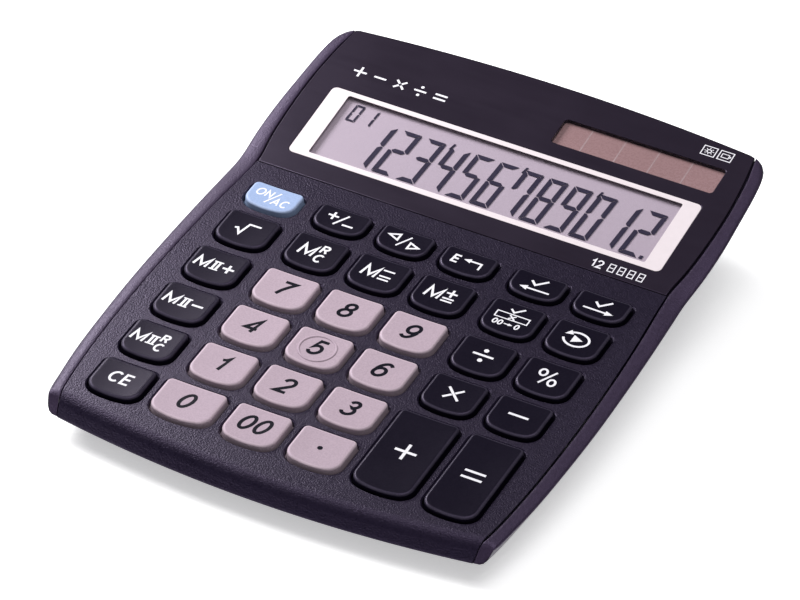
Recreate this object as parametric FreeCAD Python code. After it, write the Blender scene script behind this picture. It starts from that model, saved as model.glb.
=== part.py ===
"""Desk calculator: a wedge-shaped plastic case with a flat keypad deck, a steeper display
section behind it, two separate side rails, 34 sprung keys and the parts inside.

Millimetres. X runs across, Y from the front edge to the back, Z up from the desk.
The deck and the display section are flat and meet on one line across the case, the fold.
Most pieces are drawn in the frame of one of those two flats (x across, y up the slope,
z square to it, all measured from the fold) and then set in place.
"""
import FreeCAD, Part
import math, os
from FreeCAD import Placement, Rotation

V = FreeCAD.Vector
os.makedirs("parts", exist_ok=True)

# ------------------------------------------------------------------ driving dimensions
FOLD_Y, FOLD_Z = 24.6, 18.6            # where the deck meets the display section
DECK_TILT, DISPLAY_TILT = 5.0, 11.3    # degrees above the desk
CASE_DEPTH = 6.6                       # upper case and rails, square to each flat
RIM = 0.8                              # flat rim of the lower case, under the upper one
SKIN = 1.8                             # thickness of the moulded deck
WALL = 2.0                             # side walls of the upper case
RAIL_DROP = 0.3                        # rails lie this far below the deck
GROOVE = 0.3                           # gap between the deck and a rail

# half-widths at distances behind the fold: the shadow gap, then the case's outer side
GROOVE_LINE = [(-101, 51.6), (-97, 52.6), (-92, 53.6), (-85, 54.5), (-70, 55.5), (-50, 55.9),
               (-30, 55.5), (-15, 54.7), (0, 53.7), (10, 54.8), (20, 55.3), (30, 55.3),
               (40, 54.6), (49, 53.4), (54, 52.6)]
OUTER_LINE = [(-96.9, 54.4), (-96.1, 55.5), (-94.8, 56.2), (-92.6, 56.9), (-88, 57.5), (-78, 58.6),
              (-65, 59.3), (-50, 59.7), (-35, 59.6), (-20, 59.2), (-8, 58.7), (0, 58.4),
              (9.8, 59.0), (19.6, 59.1), (29.4, 58.7), (37, 58.2), (41.5, 57.6), (44.6, 56.9),
              (46.5, 56.2), (48.0, 55.3), (48.8, 54.3), (49.1, 53.7)]
# right half of the whole outline, from the middle of the back to the middle of the front
OUTLINE = [(0, 52.0), (20, 51.6), (40, 50.4), (50, 49.1), (55, 46.6), (57.4, 41), (58.6, 29),
           (58.8, 15), (58.2, 0), (58.9, -20), (59.4, -45), (58.9, -68), (57.4, -86),
           (55.6, -94.5), (51, -97.1), (40, -98.7), (20, -100.3), (0, -100.9)]
NOSE_AXIS = 218.3                      # centre of the arched front edge, along the deck
NOSE_TOP, NOSE_BOTTOM = 317.5, 320.2   # radii of the crease and of the lower front edge
NOSE_FALL = 4.3                        # height of the sloping front
NOSE_TUCK = 1.5                        # how fast it draws back below its edge
CREASE = 4.4                           # radius of the soft crease above it
BACK_BOW = 520.0                       # radius of the arched back edge

# keys: outlines of the top faces, in the deck's frame
KEY_HEIGHT = 1.15
KEY_SKIRT = 0.25                       # the skirt is this much wider than the top face
KEY_GAP = 0.35                         # clearance in the opening
KEY_FLANGE = 0.75                      # lip under the deck, round the skirt
FLANGE_TOP, FLANGE_BOTTOM = -1.9, -2.7
TOP_CORNER, LOW_CORNER, LOW_BOW = 1.3, 3.4, 20.0
COLUMNS = [-43.25, -25.15, -8.55, 7.95, 26.05, 42.45]
ROWS = [-11.6, -24.8, -39.85, -54.75, -69.75, -84.75]
LIGHT, DARK, SHORT, LONG = (13.4, 11.9), (13.0, 11.7), (13.0, 8.4), (13.0, 11.4)
KEY_NAMES = [
    ["on_clear", "sign", "previous_now", "error_recall", "check_back", "check_forward"],
    ["root", "memory_recall", "memory_minus", "memory_plus", "correct", "auto_replay"],
    ["memory2_plus", "7", "8", "9", "divide", "percent"],
    ["memory2_minus", "4", "5", "6", "multiply", "minus"],
    ["memory2_recall", "1", "2", "3"],
    ["clear_entry", "0", "double_zero", "point"],
]
ZERO_KEY = (-26.05, 15.2)               # middle and width of the wider nought key
PLUS_KEY = (25.45, 14.7)
TALL_MIDDLE, TALL_LENGTH = -77.5, 27.2

# rubber mat and circuit board under the keys, heights below the deck
MAT_TOP, BOARD_TOP, BOARD_BOTTOM = -4.2, -5.0, -6.2
BOARD_PINS = [(-34.3, -76.1), (-34.3, -47.3), (-34.3, -17.7), (16.9, -61.7), (16.9, -17.7)]
CASE_SCREWS = [(-40, -3.2), (40, -3.2), (-34, 35.2), (1, 35.2)]   # across, behind the fold

# display section, in its own frame: (x0, x1, y0, y1)
PANEL_THICK = 1.2
LENS = (-48.9, 48.9, 6.3, 30.4)
LCD_VIEW = (-44.1, 44.4, 7.9, 29.0)
SOLAR_VIEW = (6.8, 49.0, 34.9, 43.4)
GLASS = (-46.5, 46.8, 5.5, 31.2)
PANEL_SEAT = -2.4                      # underside of the seat that carries the panel
PRINT_THICK = 0.15
LCD_TOP, LCD_THICK = -1.25, 2.0

# underside
FLOOR_Z, FLOOR_THICK = 1.2, 1.6
FEET = [(-33, -77), (33, -77), (-40, 28.5), (40, 28.5)]
FOOT_RADIUS = 4.5
CELL = (22.0, 12.0)                    # button cell's middle, across and behind the fold
CELL_RADIUS, CELL_HEIGHT = 5.8, 5.4


# ------------------------------------------------------------------ frames and helpers
def slope(tilt):
    return Placement(V(0, FOLD_Y, FOLD_Z), Rotation(V(1, 0, 0), tilt))


def set_on(shape, tilt):
    """A shape drawn in the frame of the deck or the display section, put in place."""
    moved = shape.copy()
    moved.Placement = slope(tilt).multiply(moved.Placement)
    return moved


def on_deck(shape):
    return set_on(shape, DECK_TILT)


def on_display(shape):
    return set_on(shape, DISPLAY_TILT)


def box(x0, x1, y0, y1, z0, z1):
    return Part.makeBox(x1 - x0, y1 - y0, z1 - z0, V(x0, y0, z0))


def cylinder(radius, x, y, z0, z1):
    return Part.makeCylinder(radius, z1 - z0, V(x, y, z0))


def union(shapes):
    joined = shapes[0].fuse(shapes[1:]) if len(shapes) > 1 else shapes[0]
    return joined.removeSplitter()


def rounded_box(x0, x1, y0, y1, z0, z1, radius):
    block = box(x0, x1, y0, y1, z0, z1)
    upright = [e for e in block.Edges if abs(e.tangentAt(e.FirstParameter).z) > 0.9]
    return block.makeFillet(radius, upright)


def point_on(tilt, along, off):
    """(Y, Z) of a point `along` a slope from the fold and `off` square to it."""
    a = math.radians(tilt)
    return (FOLD_Y + along * math.cos(a) - off * math.sin(a),
            FOLD_Z + along * math.sin(a) + off * math.cos(a))


def fold_point(off):
    """(Y, Z) where the deck and the display section meet, both moved square by `off`."""
    half = math.radians((DECK_TILT + DISPLAY_TILT) / 2)
    reach = off / math.cos(math.radians((DISPLAY_TILT - DECK_TILT) / 2))
    return FOLD_Y - reach * math.sin(half), FOLD_Z + reach * math.cos(half)


def layer(high, low):
    """Endless slab that follows both slopes, from `high` down to `low`."""
    front, back, side = -130.0, 80.0, 75.0
    ring = [point_on(DECK_TILT, front, high), fold_point(high),
            point_on(DISPLAY_TILT, back, high), point_on(DISPLAY_TILT, back, low),
            fold_point(low), point_on(DECK_TILT, front, low)]
    points = [V(-side, y, z) for y, z in ring]
    return Part.Face(Part.makePolygon(points + points[:1])).extrude(V(2 * side, 0, 0))


def surface_z(y, off):
    """Height of the slopes, moved square by `off`, at a distance y behind the fold."""
    fold_y, fold_z = fold_point(off)
    tilt = DECK_TILT if y + FOLD_Y < fold_y else DISPLAY_TILT
    return fold_z + (y + FOLD_Y - fold_y) * math.tan(math.radians(tilt))


def nose(inset=0.0):
    """Round body whose edge is the arched front: a slope, then a face that tucks under."""
    steep = (NOSE_BOTTOM - NOSE_TOP) / NOSE_FALL
    low, high = -30.0, 10.0
    slope_part = Part.makeCone(NOSE_TOP + NOSE_FALL * steep - inset,
                               NOSE_TOP - high * steep - inset,
                               high + NOSE_FALL, V(0, NOSE_AXIS, -NOSE_FALL))
    tucked = NOSE_BOTTOM - inset - NOSE_TUCK * (-NOSE_FALL - low)
    under = Part.makeCone(tucked, NOSE_BOTTOM - inset, -NOSE_FALL - low,
                          V(0, NOSE_AXIS, low))
    return on_deck(slope_part.fuse(under))


def read_line(line, y):
    """Half-width of a side line at y, on a smooth curve through its points."""
    n = max(i for i in range(len(line) - 1) if line[i][0] <= y or i == 0)
    (y0, x0), (y1, x1) = line[n], line[n + 1]
    before, after = line[max(n - 1, 0)], line[min(n + 2, len(line) - 1)]
    run, t = y1 - y0, (y - y0) / (y1 - y0)
    m0 = (x1 - before[1]) / (y1 - before[0]) * run
    m1 = (after[1] - x0) / (after[0] - y0) * run
    return ((2 * t**3 - 3 * t**2 + 1) * x0 + (t**3 - 2 * t**2 + t) * m0
            + (3 * t**2 - 2 * t**3) * x1 + (t**3 - t**2) * m1)


def spline(points):
    curve = Part.BSplineCurve()
    curve.interpolate(points)
    return curve.toShape()


def middle_prism(inset, front, back):
    """Upright prism between the two shadow gaps, moved in by `inset`."""
    z0, z1 = -5.0, 45.0
    runs = [[front + (0 - front) * k / 12 for k in range(13)],
            [back * k / 8 for k in range(9)]]
    right = [spline([V(read_line(GROOVE_LINE, y) - inset, FOLD_Y + y, z0) for y in run])
             for run in runs]
    left = [spline([V(inset - read_line(GROOVE_LINE, y), FOLD_Y + y, z0) for y in run])
            for run in runs]
    ends = [Part.makeLine(V(inset - read_line(GROOVE_LINE, y), FOLD_Y + y, z0),
                          V(read_line(GROOVE_LINE, y) - inset, FOLD_Y + y, z0))
            for y in (front, back)]
    ring = Part.Wire(Part.__sortEdges__(right + left + ends))
    return Part.Face(ring).extrude(V(0, 0, z1 - z0))


def bowed_back(inset=0.0):
    """Upright cylinder that trims the back to its shallow arch."""
    reach = OUTLINE[0][1] - inset
    return cylinder(BACK_BOW, 0, FOLD_Y + reach - BACK_BOW, -10, 60)


def outline_wire(inset, z):
    """The whole case's outline, drawn in by about `inset`, at height z."""
    span = OUTLINE[0][1] - OUTLINE[-1][1]
    middle = (OUTLINE[0][1] + OUTLINE[-1][1]) / 2
    kx, ky = 1 - inset / max(x for x, y in OUTLINE), 1 - 2 * inset / span
    right = [V(x * kx, FOLD_Y + middle + (y - middle) * ky, z) for x, y in OUTLINE]
    left = [V(-p.x, p.y, z) for p in right]
    return Part.Wire([spline(right), spline(left[::-1])])


def key_wire(width, length, grow, z):
    """Outline of a key: straight at the back, two round corners and a bowed front."""
    a, top, low = width / 2 + grow, length / 2 + grow, -length / 2 - grow
    rt, rb, bow = max(TOP_CORNER + grow, 0.3), LOW_CORNER + grow, LOW_BOW + grow
    cy = low + bow - math.sqrt((bow - rb) ** 2 - (a - rb) ** 2)
    lean = math.atan2(a - rb, bow + low - cy)
    touch = V((a - rb) + rb * math.sin(lean), cy - rb * math.cos(lean), z)
    bend = (lean + math.pi / 2) / 2
    elbow = V((a - rb) + rb * math.sin(bend), cy - rb * math.cos(bend), z)
    diagonal = rt * math.sqrt(0.5)
    peak = V(a - rt + diagonal, top - rt + diagonal, z)

    def flip(p):
        return V(-p.x, p.y, p.z)

    corner, side, lower = V(a - rt, top, z), V(a, top - rt, z), V(a, cy, z)
    return Part.Wire([
        Part.makeLine(flip(corner), corner), Part.Arc(corner, peak, side).toShape(),
        Part.makeLine(side, lower), Part.Arc(lower, elbow, touch).toShape(),
        Part.Arc(touch, V(0, low, z), flip(touch)).toShape(),
        Part.Arc(flip(touch), flip(elbow), flip(lower)).toShape(),
        Part.makeLine(flip(lower), flip(side)),
        Part.Arc(flip(side), flip(peak), flip(corner)).toShape()])


def key_prism(width, length, grow, z0, z1):
    return Part.Face(key_wire(width, length, grow, z0)).extrude(V(0, 0, z1 - z0))


# ------------------------------------------------------------------ the layout of the keys
KEYS = {}
for r, names in enumerate(KEY_NAMES):
    for c, name in enumerate(names):
        size = SHORT if r == 0 else LONG if r == 1 else DARK if c in (0, 4, 5) else LIGHT
        KEYS["key_" + name] = (COLUMNS[c], ROWS[r]) + size
KEYS["key_0"] = (ZERO_KEY[0], ROWS[5], ZERO_KEY[1], LIGHT[1])
KEYS["key_plus"] = (PLUS_KEY[0], TALL_MIDDLE, PLUS_KEY[1], TALL_LENGTH)
KEYS["key_equals"] = (COLUMNS[5], TALL_MIDDLE, DARK[0], TALL_LENGTH)

parts = {}

# ------------------------------------------------------------------ upper case
# One moulding: deck, sloping front and the seat under the display panel. The outer block
# is trimmed to its arched front and back, then hollowed from below.
outer_block = (middle_prism(0, -101, 54).common(layer(0, -CASE_DEPTH))
               .common(nose()).common(bowed_back()))
hollow = (middle_prism(WALL, -100, 53).common(nose(WALL + 0.4))
          .common(bowed_back(WALL)))
under_skin = hollow.common(layer(-SKIN, -30))
crease = [e for e in outer_block.Edges
          if e.Curve.TypeId == "Part::GeomCircle"
          and abs(e.Curve.Radius - NOSE_TOP) < 1e-3 and e.Length > 60]
outer_block = outer_block.makeFillet(CREASE, crease)

display_zone = on_display(box(-70, 70, 0, 70, -PANEL_THICK, 20))
upper = outer_block.cut(under_skin).cut(display_zone)
# a thicker seat under the display panel, then bosses for the screws
seat = on_display(box(-70, 70, 0.4, 70, PANEL_SEAT, -PANEL_THICK))
upper = upper.fuse(hollow.common(seat))
upper = upper.cut(hollow.common(on_display(box(-70, 70, 1.5, 70, -30, PANEL_SEAT))))
bosses = [on_deck(cylinder(1.3, x, y, BOARD_TOP, -SKIN / 2)) for x, y in BOARD_PINS]
bosses += [cylinder(2.4, x, FOLD_Y + y, surface_z(y, -CASE_DEPTH), surface_z(y, -SKIN))
           for x, y in CASE_SCREWS]
upper = upper.fuse(bosses)
pilots = [on_deck(cylinder(0.6, x, y, BOARD_TOP - 1, -SKIN - 0.4)) for x, y in BOARD_PINS]
pilots += [cylinder(1.0, x, FOLD_Y + y, surface_z(y, -CASE_DEPTH) - 1,
                    surface_z(y, -SKIN) - 1.0) for x, y in CASE_SCREWS]

# openings: 34 for the keys with a small bevel round each, one for the display, one for
# the solar cell
openings = []
for x, y, width, length in KEYS.values():
    grow = KEY_SKIRT + KEY_GAP
    hole = key_prism(width, length, grow, -SKIN - 3, 3)
    bevel = Part.makeLoft([key_wire(width, length, grow, -0.35),
                           key_wire(width, length, grow + 0.4, 0.05)], True, True)
    for tool in (hole, bevel):
        tool.translate(V(x, y, 0))
        openings.append(on_deck(tool))
openings.append(on_display(box(GLASS[0] - 0.2, GLASS[1] + 0.2, GLASS[2] - 0.2, GLASS[3] + 0.2,
                               PANEL_SEAT - 1, 3)))
openings.append(on_display(box(SOLAR_VIEW[0] - 1, SOLAR_VIEW[1] + 1, SOLAR_VIEW[2] - 1,
                               SOLAR_VIEW[3] + 1, PANEL_SEAT - 1, 3)))
parts["upper_case"] = upper.cut(pilots + openings).common(layer(1, -CASE_DEPTH))

# ------------------------------------------------------------------ display panel
# Satin black plate bonded over the whole display section, with two windows cut in it.
plate = (middle_prism(0, -101, 54).common(nose()).common(bowed_back())
         .common(on_display(box(-70, 70, 0.25, 70, -PANEL_THICK, 0))))
window = rounded_box(*LENS, -5, 5, 1.4)
solar_hole = rounded_box(*SOLAR_VIEW, -5, 5, 0.9)
parts["display_panel"] = plate.cut([on_display(window), on_display(solar_hole)])

# clear window, and the white border printed thickly on its face
print_low = -0.05 - PRINT_THICK
clear = rounded_box(*LENS, -PANEL_THICK, print_low, 1.4)
border = rounded_box(*LENS, print_low, -0.05, 1.4).cut(rounded_box(*LCD_VIEW, -2, 2, 0.5))
parts["display_window"] = on_display(clear)
parts["window_border"] = on_display(border)
parts["solar_window"] = on_display(rounded_box(*SOLAR_VIEW, -0.75, -0.05, 0.9))

# ------------------------------------------------------------------ side rails
# A slim moulding along each side, rounded over at the top and tucked under below. Each is
# skinned over cross-sections, in two runs that meet at the fold.
def rail_section(y):
    inner, outer = read_line(GROOVE_LINE, y) + GROOVE, read_line(OUTER_LINE, y)
    low = surface_z(y, -CASE_DEPTH)
    high = surface_z(y, 0) - RAIL_DROP
    tall, wide = high - low, outer - inner
    tuck = min(3.1, wide - 0.3)
    ring = [(inner, high), (outer - 0.42 * wide, high - 0.05), (outer - 0.16 * wide, high - 0.3),
            (outer, high - 0.8), (outer - 0.17 * tuck, high - 1.7), (outer - tuck, low),
            (inner, low)]
    points = [V(x, FOLD_Y + y, z) for x, z in ring]
    return Part.makePolygon(points + points[:1])


DECK_RUN = [0, -8, -18, -30, -42, -54, -66, -76, -84, -88.5, -91, -93, -94.6, -95.7, -96.4,
            -96.9]
DISPLAY_RUN = [0, 4, 10, 17, 24, 31, 37, 41.5, 44.6, 46.5, 48, 48.8, 49.1]
runs = [Part.makeLoft([rail_section(y) for y in run], True, False)
        for run in (DECK_RUN, DISPLAY_RUN)]
# the front end follows the same soft crease as the deck
front_block = on_deck(box(-70, 70, -130, 0, -CASE_DEPTH - 3, 0)).common(nose())
arc = [e for e in front_block.Edges if e.Curve.TypeId == "Part::GeomCircle"
       and abs(e.Curve.Radius - NOSE_TOP) < 1e-3 and e.Length > 60]
front_block = front_block.makeFillet(CREASE, arc)
right_rail = (runs[0].common(front_block).fuse(runs[1]).common(layer(5, -CASE_DEPTH))
              .common(bowed_back()))
parts["right_side_rail"] = right_rail
parts["left_side_rail"] = right_rail.mirror(V(0, 0, 0), V(1, 0, 0))

# ------------------------------------------------------------------ lower case
# A tub with sloping walls inside a flat rim, with posts for the case screws and a
# compartment for the button cell.
top_z, inner_floor = 24.0, FLOOR_Z + FLOOR_THICK
tub = Part.makeLoft([outline_wire(4.0, top_z), outline_wire(12.0, FLOOR_Z)], True, True)
inside = Part.makeLoft([outline_wire(6.0, top_z + 2), outline_wire(13.8, inner_floor)],
                       True, True)
rim = Part.Face(outline_wire(3.6, -5)).extrude(V(0, 0, 50)).common(
    layer(-CASE_DEPTH, -CASE_DEPTH - RIM))
lower = tub.common(layer(-CASE_DEPTH, -60)).fuse(rim).cut(inside)
posts, bores = [], []
SCREW_SEAT = 3.0                       # plastic left above each screw head
for x, y in CASE_SCREWS:
    parting = surface_z(y, -CASE_DEPTH)
    posts.append(cylinder(3.8, x, FOLD_Y + y, FLOOR_Z, parting + 1))
    bores.append(cylinder(2.6, x, FOLD_Y + y, 0, parting - SCREW_SEAT))
    bores.append(cylinder(1.4, x, FOLD_Y + y, 0, parting + 2))
cx, cy = CELL[0], FOLD_Y + CELL[1]
COVER = (cx - 13, cx + 19, cy - 11, cy + 11)
BAY = (cx - 10.5, cx + 10.5, cy - 8.5, cy + 8.5)
CELL_Z = inner_floor + 0.2
bay_top = CELL_Z + CELL_HEIGHT + 1.2
SCREW_X = cx + 14.5
posts.append(box(BAY[0] - 1.2, BAY[1] + 1.2, BAY[2] - 1.2, BAY[3] + 1.2, FLOOR_Z, bay_top))
posts.append(cylinder(2.6, SCREW_X, cy, FLOOR_Z, FLOOR_Z + 6.5))
COVER_THICK = 0.9
bores.append(box(*BAY, 0, bay_top + 1))
bores.append(rounded_box(*COVER, FLOOR_Z - 1, FLOOR_Z + COVER_THICK, 1.5))
bores.append(cylinder(0.9, SCREW_X, cy, 0, FLOOR_Z + 5.5))
lower = lower.fuse([p.common(layer(-CASE_DEPTH, -60)).common(tub) for p in posts]).cut(bores)
FOOT_RECESS = 0.4
feet = [cylinder(FOOT_RADIUS, x, FOLD_Y + y, 0, FLOOR_Z + FOOT_RECESS) for x, y in FEET]
parts["lower_case"] = lower.cut(feet)
parts["rubber_feet"] = Part.makeCompound(feet)

# ------------------------------------------------------------------ battery parts
CLEAR = 0.15
cover = rounded_box(COVER[0] + CLEAR, COVER[1] - CLEAR, COVER[2] + CLEAR, COVER[3] - CLEAR,
                    FLOOR_Z, FLOOR_Z + COVER_THICK, 1.4)
HEAD_RADIUS = 1.9
head_hole = cylinder(HEAD_RADIUS, SCREW_X, cy, 0, FLOOR_Z + COVER_THICK)
grip = [box(cx - 11 + 1.6 * k, cx - 10.2 + 1.6 * k, cy - 5, cy + 5, 0, FLOOR_Z + 0.3)
        for k in range(5)]
parts["battery_cover"] = cover.cut([head_hole] + grip)
screw = cylinder(HEAD_RADIUS, SCREW_X, cy, FLOOR_Z, FLOOR_Z + COVER_THICK).fuse(
    cylinder(0.9, SCREW_X, cy, FLOOR_Z, FLOOR_Z + 5.0))
slot = box(SCREW_X - 2, SCREW_X + 2, cy - 0.25, cy + 0.25, 0, FLOOR_Z + 0.4).fuse(
    box(SCREW_X - 0.25, SCREW_X + 0.25, cy - 2, cy + 2, 0, FLOOR_Z + 0.4))
parts["battery_cover_screw"] = screw.cut(slot)
cell = cylinder(CELL_RADIUS, cx, cy, CELL_Z + 0.5, CELL_Z + CELL_HEIGHT).fuse(
    cylinder(CELL_RADIUS - 0.8, cx, cy, CELL_Z, CELL_Z + CELL_HEIGHT))
parts["button_cell"] = cell
contact_z = CELL_Z + CELL_HEIGHT
top_contact = box(cx - 3, cx + 3, cy - 2.5, BAY[3], contact_z, contact_z + 0.3).fuse(
    box(cx - 3, cx + 3, BAY[3] - 0.3, BAY[3], contact_z - 4, contact_z + 0.3))
side_contact = box(BAY[0], cx - CELL_RADIUS, cy - 2.5, cy + 2.5, CELL_Z + 2, CELL_Z + 2.3).fuse(
    box(BAY[0], BAY[0] + 0.3, cy - 2.5, cy + 2.5, CELL_Z + 2, contact_z))
parts["battery_contacts"] = Part.makeCompound([top_contact, side_contact])


# ------------------------------------------------------------------ fasteners
def pan_screw(radius, head_radius, head_height, length):
    """Self-tapping screw pointing up, with its head's underside at z = 0."""
    body = cylinder(head_radius, 0, 0, -head_height, 0).fuse(cylinder(radius, 0, 0, 0, length))
    cross = [box(-head_radius * 0.6, head_radius * 0.6, -0.25, 0.25, -head_height,
                 -head_height * 0.5),
             box(-0.25, 0.25, -head_radius * 0.6, head_radius * 0.6, -head_height,
                 -head_height * 0.5)]
    return body.cut(cross)


case_screws = []
for x, y in CASE_SCREWS:
    one = pan_screw(1.0, 2.2, 1.5, 6.4)
    one.translate(V(x, FOLD_Y + y, surface_z(y, -CASE_DEPTH) - SCREW_SEAT))
    case_screws.append(one)
parts["case_screws"] = Part.makeCompound(case_screws)
BOARD_SCREW_HEAD = 1.3
board_screws = []
for x, y in BOARD_PINS:
    one = pan_screw(0.6, BOARD_SCREW_HEAD, 0.5, 3.6)
    one.translate(V(x, y, BOARD_BOTTOM))
    board_screws.append(on_deck(one))
board_screws = [s.common(layer(0, -CASE_DEPTH - 0.2)) for s in board_screws]
parts["board_screws"] = Part.makeCompound(board_screws)

# ------------------------------------------------------------------ circuit board and mat
# One board lies under all the keys, with a moulded rubber mat on top of it: a flat sheet
# with a dome under every key, and two under each long key.
corner_cut = 9.0
edge, front, back = 49.5, -93.2, -6.3
board_ring = [V(-edge, back, BOARD_BOTTOM), V(edge, back, BOARD_BOTTOM),
              V(edge, front + corner_cut, BOARD_BOTTOM), V(edge - corner_cut, front, BOARD_BOTTOM),
              V(corner_cut - edge, front, BOARD_BOTTOM), V(-edge, front + corner_cut, BOARD_BOTTOM)]
board = Part.Face(Part.makePolygon(board_ring + board_ring[:1])).extrude(
    V(0, 0, BOARD_TOP - BOARD_BOTTOM))
board = board.cut([cylinder(0.6, x, y, -9, 0) for x, y in BOARD_PINS])
parts["circuit_board"] = on_deck(board)

mat = box(-48.5, 48.5, -92.4, -7.9, BOARD_TOP, MAT_TOP)
mat = mat.cut([cylinder(1.8, x, y, -9, 0) for x, y in BOARD_PINS])
DOME_BASE, DOME_TOP = 3.2, 2.2
domes = []
for x, y, width, length in KEYS.values():
    for step in ((-7.5, 7.5) if length > 20 else (0,)):
        domes.append(Part.makeCone(DOME_BASE, DOME_TOP, FLANGE_BOTTOM - MAT_TOP,
                                   V(x, y + step, MAT_TOP)))
parts["rubber_mat"] = on_deck(union([mat] + domes))

CHIP = (28.0, -24.0)
blob_radius, blob_height = 7.0, 1.6
ball = (blob_radius**2 + blob_height**2) / (2 * blob_height)
blob = Part.makeSphere(ball, V(CHIP[0], CHIP[1], BOARD_BOTTOM - blob_height + ball)).common(
    box(-50, 50, -50, 0, BOARD_BOTTOM - 5, BOARD_BOTTOM))
parts["controller_blob"] = on_deck(blob)
small = [on_deck(box(-30 + 7 * k, -28 + 7 * k, -20, -18.8, BOARD_BOTTOM - 0.6, BOARD_BOTTOM))
         for k in range(6)]
parts["chip_resistors"] = Part.makeCompound(small)
parts["buffer_capacitor"] = on_deck(
    Part.makeCylinder(2.5, 7, V(-6, -14, BOARD_BOTTOM - 2.5), V(1, 0, 0)))

# ------------------------------------------------------------------ display and solar cell
lcd_low = LCD_TOP - LCD_THICK
parts["lcd_glass"] = on_display(box(*GLASS, lcd_low, LCD_TOP))
parts["lcd_reflector"] = on_display(box(*GLASS, lcd_low - 0.3, lcd_low))
frame_low = lcd_low - 1.8
holder = box(GLASS[0] - 1, GLASS[1] + 1, GLASS[2] - 1, GLASS[3] + 1, frame_low, lcd_low)
holder = holder.cut([box(*GLASS, lcd_low - 0.3, 0),
                     box(GLASS[0] + 5, GLASS[1] - 5, GLASS[2] + 5, GLASS[3] - 5, -20, 0)])
parts["lcd_holder"] = on_display(holder)
solar_low = -PANEL_THICK - 1.1
parts["solar_cell"] = on_display(box(SOLAR_VIEW[0] - 0.8, SOLAR_VIEW[1] + 0.8,
                                     SOLAR_VIEW[2] - 0.8, SOLAR_VIEW[3] + 0.8,
                                     solar_low, -PANEL_THICK))
# flat film that carries the display's lines from the glass down to the board
film_line = [point_on(DISPLAY_TILT, GLASS[2], lcd_low + 0.6),
             point_on(DISPLAY_TILT, 2.4, lcd_low),
             point_on(DECK_TILT, -5.4, BOARD_TOP + 0.3), point_on(DECK_TILT, -7.6, BOARD_TOP + 0.3)]
film_edge = film_line + [(y, z - 0.25) for y, z in film_line[::-1]]
film_edge = [V(-34, y, z) for y, z in film_edge]
parts["display_film"] = Part.Face(Part.makePolygon(film_edge + film_edge[:1])).extrude(
    V(68, 0, 0))


# four soft insulated wires, two from the solar cell and two from the button cell
def wire_path(points, radius=0.45):
    joints = [Part.makeSphere(radius, p) for p in points[1:-1]]
    runs = [Part.makeCylinder(radius, (b - a).Length, a, b - a)
            for a, b in zip(points, points[1:])]
    return union(runs + joints)


def at(tilt, x, along, off):
    y, z = point_on(tilt, along, off)
    return V(x, y, z)


wires = []
for k in range(2):
    drop = 1.6 * k
    wires.append(wire_path([
        at(DISPLAY_TILT, 44 - drop, 36, solar_low - 0.45),
        at(DISPLAY_TILT, 44 - drop, 36, -10),
        at(DISPLAY_TILT, 46.4 - drop, 12, -10),
        at(DECK_TILT, 46.4 - drop, -9, BOARD_BOTTOM - 0.5)]))
wires.append(wire_path([V(cx, BAY[3] - 1.2, contact_z + 0.75), V(cx, BAY[3] - 1.2, 12.4),
                        V(4, FOLD_Y + 2, 11.0),
                        at(DECK_TILT, 4, -9, BOARD_BOTTOM - 0.5)]))
wires.append(wire_path([V(BAY[0] + 1.2, cy, contact_z + 0.9), V(BAY[0] + 1.2, cy, 11.4),
                        V(0, FOLD_Y + 2, 10.4),
                        at(DECK_TILT, 0, -9, BOARD_BOTTOM - 0.5)]))
parts["hookup_wires"] = Part.makeCompound(wires)


# ------------------------------------------------------------------ keys
# Each is one hollow moulding: a tapered cap with a bevelled, slightly dished top, a lip
# that stops under the deck, and a post that stands on its rubber dome.
def key_shape(width, length):
    cap = Part.makeLoft([key_wire(width, length, KEY_SKIRT, FLANGE_BOTTOM),
                         key_wire(width, length, 0.04, KEY_HEIGHT - 0.35),
                         key_wire(width, length, -0.3, KEY_HEIGHT)], True, True)
    lip = key_prism(width, length, KEY_SKIRT + KEY_FLANGE, FLANGE_BOTTOM, FLANGE_TOP)
    pocket = key_prism(width, length, -1.5, FLANGE_BOTTOM - 1, KEY_HEIGHT - 1.3)
    shape = cap.fuse(lip).cut(pocket)
    for step in ((-7.5, 7.5) if length > 20 else (0,)):
        shape = shape.fuse(cylinder(DOME_TOP, 0, step, FLANGE_BOTTOM, KEY_HEIGHT - 1.2))
    hollow_depth = 0.22
    half = width / 2 + 0.5
    sweep = (half**2 + hollow_depth**2) / (2 * hollow_depth)
    dish = Part.makeCylinder(sweep, 60, V(0, -30, KEY_HEIGHT - hollow_depth + sweep), V(0, 1, 0))
    return shape.cut(dish).removeSplitter()


moulds = {}
for name, (x, y, width, length) in KEYS.items():
    if (width, length) not in moulds:
        moulds[width, length] = key_shape(width, length)
    cap = moulds[width, length].copy()
    if name == "key_5":
        ring = cylinder(4.6, 0, 0, KEY_HEIGHT - 1.2, KEY_HEIGHT - 0.05).cut(
            cylinder(4.3, 0, 0, KEY_HEIGHT - 3, KEY_HEIGHT + 1))
        cap = cap.fuse(ring)
    cap.translate(V(x, y, 0))
    parts[name] = on_deck(cap)

for name, shape in parts.items():
    shape.exportStep("parts/" + name + ".step")
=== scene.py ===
"""Desk calculator: its case, rails, display, solar cell, keys and printed signs.

Metres. X runs across, Y from the front edge to the back, Z up from the desk.
"""
import math
import bpy
from mathutils import Matrix, Vector


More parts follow.
